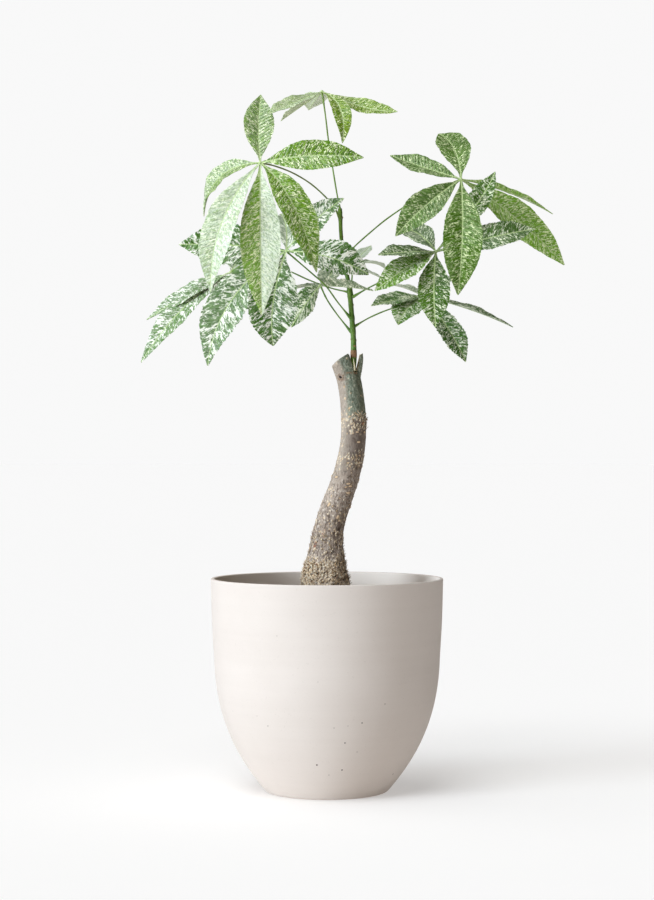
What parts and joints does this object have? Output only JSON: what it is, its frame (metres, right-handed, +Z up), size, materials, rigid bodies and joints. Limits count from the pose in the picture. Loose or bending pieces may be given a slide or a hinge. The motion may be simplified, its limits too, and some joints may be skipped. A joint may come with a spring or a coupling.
{
  "type": "potted money tree",
  "caption": "Variegated money tree in a matt planter: a thick, cut-back trunk with one green shoot carrying long-stalked compound leaves.",
  "frame": {"origin": "middle of the planter's flat underside, on the floor", "axes": "+Z up along the planter's axis, +X to the right and -Y to the front as seen in the picture"},
  "size_m": [0.5152, 0.3139, 0.8475],
  "materials": {
    "fibre_clay": "matt, fine-grained off-white with a few pinholes",
    "potting_soil": "crumbly, dark brown",
    "bark": "rough grey-brown bark, green-grey and smoother near the top",
    "green_stem": "smooth green skin, slightly glossy",
    "leaf_stalk": "smooth green skin",
    "leaf_young": "satin, yellow-green marbled with cream",
    "leaf_mid": "satin, green marbled with pale green",
    "leaf_white": "satin, dark green marbled with white"
  },
  "bodies": {
    "root": {"pot": "fibre_clay", "soil": "potting_soil", "trunk": "bark", "shoot": "green_stem", "leaf_t_stalk": "leaf_stalk", "leaf_a_stalk": "leaf_stalk", "leaf_b_stalk": "leaf_stalk", "leaf_c_stalk": "leaf_stalk", "leaf_d_stalk": "leaf_stalk", "leaf_e_stalk": "leaf_stalk", "leaf_f_stalk": "leaf_stalk", "leaf_g_stalk": "leaf_stalk", "leaf_h_stalk": "leaf_stalk", "leaf_t_blades": "leaf_young", "leaf_a_blades": "leaf_young", "leaf_b_blades": "leaf_mid", "leaf_c_blades": "leaf_white", "leaf_d_blades": "leaf_white", "leaf_e_blades": "leaf_white", "leaf_f_blades": "leaf_mid", "leaf_g_blades": "leaf_white", "leaf_h_blades": "leaf_white"}
  },
  "joints": []
}
